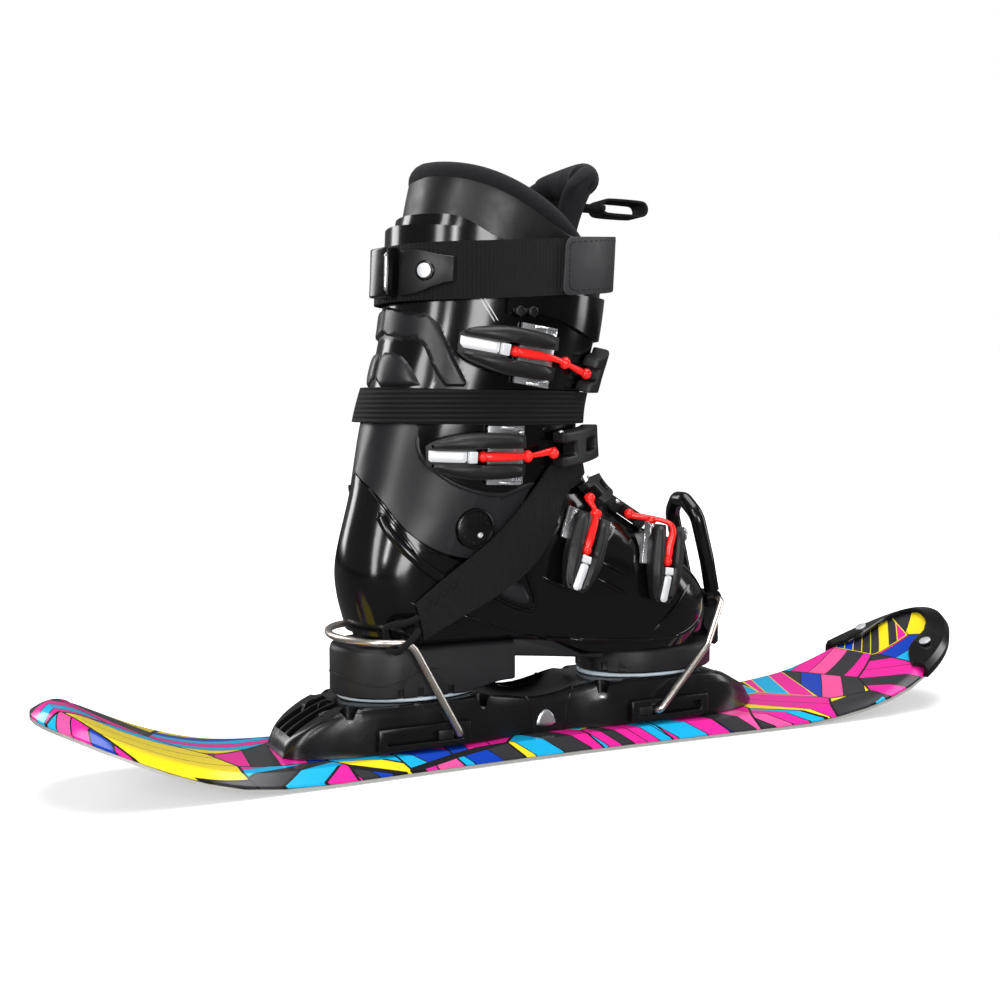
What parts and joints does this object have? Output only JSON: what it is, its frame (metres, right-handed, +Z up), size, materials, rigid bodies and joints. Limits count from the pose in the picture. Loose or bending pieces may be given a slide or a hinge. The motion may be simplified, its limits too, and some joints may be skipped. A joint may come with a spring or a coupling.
{
  "type": "skiboard with ski boot",
  "caption": "Short wide skiboard with turned-up ends, a plate binding with wire bails, a buckled ski boot clamped in it and a leash.",
  "frame": {"origin": "on the running base under the middle of the binding, in the board's mid plane", "axes": "+X to the board's tip, +Y to the boot's plain side, +Z up"},
  "size_m": [0.6679, 0.1245, 0.3765],
  "materials": {
    "printed_cap": "printed gloss cap",
    "running_base": "waxed polymer base",
    "edge_steel": "ground steel",
    "black_moulded": "fine grained moulding",
    "pale_pad": "pale low-friction pad",
    "wire_steel": "drawn stainless wire",
    "gloss_shell": "high gloss polyurethane",
    "satin_cuff": "satin polyurethane",
    "sole_rubber": "moulded sole",
    "liner_cloth": "lined cloth",
    "webbing": "woven webbing",
    "lever_plastic": "matt moulding",
    "buckle_chrome": "bright plated",
    "rod_red": "gloss red coating",
    "patch_leather": "stitched patch"
  },
  "bodies": {
    "board_and_shell": {"ankle_rivet_far": "satin_cuff", "ankle_rivet_near": "satin_cuff", "base_plate": "black_moulded", "base_sheet": "running_base", "buckle_instep_base": "buckle_chrome", "buckle_instep_catch": "lever_plastic", "buckle_toe_base": "buckle_chrome", "buckle_toe_catch": "lever_plastic", "deck": "printed_cap", "guard_screw_far": "wire_steel", "guard_screw_near": "wire_steel", "heel_block_far": "black_moulded", "heel_block_near": "black_moulded", "heel_pad": "pale_pad", "heel_slot_far": "black_moulded", "heel_slot_near": "black_moulded", "instep_flap": "gloss_shell", "leash_cord": "webbing", "leash_webbing": "webbing", "liner_foot": "liner_cloth", "lower_shell": "gloss_shell", "sole_arch": "sole_rubber", "sole_heel": "sole_rubber", "sole_toe": "sole_rubber", "steel_edge_far": "edge_steel", "steel_edge_near": "edge_steel", "tip_guard": "black_moulded", "toe_pad": "pale_pad", "toe_slot_far": "black_moulded", "toe_slot_near": "black_moulded"},
    "heel_bail": {"heel_bail": "wire_steel"},
    "toe_blocks": {"toe_block_near": "black_moulded", "toe_block_far": "black_moulded"},
    "toe_bail": {"toe_bail": "wire_steel", "toe_clip": "black_moulded"},
    "hand_lever": {"toe_lever": "black_moulded"},
    "cuff": {"cuff": "satin_cuff", "rear_spoiler": "gloss_shell", "shin_flap": "gloss_shell", "liner_shaft": "liner_cloth", "tongue": "liner_cloth", "pull_loop": "webbing", "power_strap": "webbing", "strap_patch": "patch_leather", "strap_side_plate": "black_moulded", "strap_buckle": "black_moulded", "strap_rivet": "wire_steel", "leash_band": "webbing", "buckle_upper_base": "buckle_chrome", "buckle_upper_catch": "lever_plastic", "buckle_lower_base": "buckle_chrome", "buckle_lower_catch": "lever_plastic"},
    "upper_lever": {"buckle_upper_lever": "lever_plastic"},
    "upper_rod": {"buckle_upper_rod": "rod_red"},
    "lower_lever": {"buckle_lower_lever": "lever_plastic"},
    "lower_rod": {"buckle_lower_rod": "rod_red"},
    "instep_lever": {"buckle_instep_lever": "lever_plastic"},
    "instep_rod": {"buckle_instep_rod": "rod_red"},
    "toe_lever": {"buckle_toe_lever": "lever_plastic"},
    "toe_rod": {"buckle_toe_rod": "rod_red"}
  },
  "joints": [
    {"name": "heel_bail_turn", "type": "hinge", "parent": "board_and_shell", "child": "heel_bail", "pos_m": [-0.0615, 0, 0.021], "axis": [0, -1, 0], "range_deg": [0, 10], "deforming": ["leash_cord"]},
    {"name": "toe_block_slide", "type": "slide", "parent": "board_and_shell", "child": "toe_blocks", "axis": [1, 0, 0], "range_m": [0, 0.028]},
    {"name": "toe_bail_turn", "type": "hinge", "parent": "toe_blocks", "child": "toe_bail", "pos_m": [0.0823, 0, 0.021], "axis": [0, 1, 0], "range_deg": [0, 14]},
    {"name": "hand_lever_turn", "type": "hinge", "parent": "toe_bail", "child": "hand_lever", "pos_m": [0.1445, 0, 0.0885], "axis": [0, 1, 0], "range_deg": [0, 110]},
    {"name": "cuff_flex", "type": "hinge", "parent": "board_and_shell", "child": "cuff", "pos_m": [-0.051, 0, 0.147], "axis": [0, 1, 0], "range_deg": [0, 3], "deforming": ["leash_webbing"]},
    {"name": "upper_lever_turn", "type": "hinge", "parent": "cuff", "child": "upper_lever", "pos_m": [-0.00713, -0.05617, 0.25055], "axis": [0.128, -0.0945, 0.9873], "range_deg": [0, 95]},
    {"name": "upper_rod_turn", "type": "hinge", "parent": "upper_lever", "child": "upper_rod", "pos_m": [-0.03316, -0.05986, 0.25423], "axis": [0.128, -0.0945, 0.9873], "range_deg": [-95, 0]},
    {"name": "lower_lever_turn", "type": "hinge", "parent": "cuff", "child": "lower_lever", "pos_m": [-0.02565, -0.05204, 0.19146], "axis": [0.0015, -0.0826, 0.9966], "range_deg": [0, 95]},
    {"name": "lower_rod_turn", "type": "hinge", "parent": "lower_lever", "child": "lower_rod", "pos_m": [-0.05172, -0.05424, 0.19129], "axis": [0.0015, -0.0826, 0.9966], "range_deg": [-95, 0]},
    {"name": "instep_lever_turn", "type": "hinge", "parent": "board_and_shell", "child": "instep_lever", "pos_m": [0.02746, -0.04842, 0.15068], "axis": [-0.9264, 0.0416, 0.3743], "range_deg": [0, 95]},
    {"name": "instep_rod_turn", "type": "hinge", "parent": "instep_lever", "child": "instep_rod", "pos_m": [0.01948, -0.05486, 0.13163], "axis": [-0.9264, 0.0416, 0.3743], "range_deg": [-95, 0]},
    {"name": "toe_lever_turn", "type": "hinge", "parent": "board_and_shell", "child": "toe_lever", "pos_m": [0.08138, -0.05202, 0.14291], "axis": [-0.9855, -0.0658, 0.1561], "range_deg": [0, 84]},
    {"name": "toe_rod_turn", "type": "hinge", "parent": "toe_lever", "child": "toe_rod", "pos_m": [0.07835, -0.05641, 0.12193], "axis": [-0.9855, -0.0658, 0.1561], "range_deg": [-84, 0]}
  ],
  "couplings": [
    {"joint": "upper_rod_turn", "follows": "upper_lever_turn", "ratio": -1},
    {"joint": "lower_rod_turn", "follows": "lower_lever_turn", "ratio": -1},
    {"joint": "instep_rod_turn", "follows": "instep_lever_turn", "ratio": -1},
    {"joint": "toe_rod_turn", "follows": "toe_lever_turn", "ratio": -1}
  ]
}
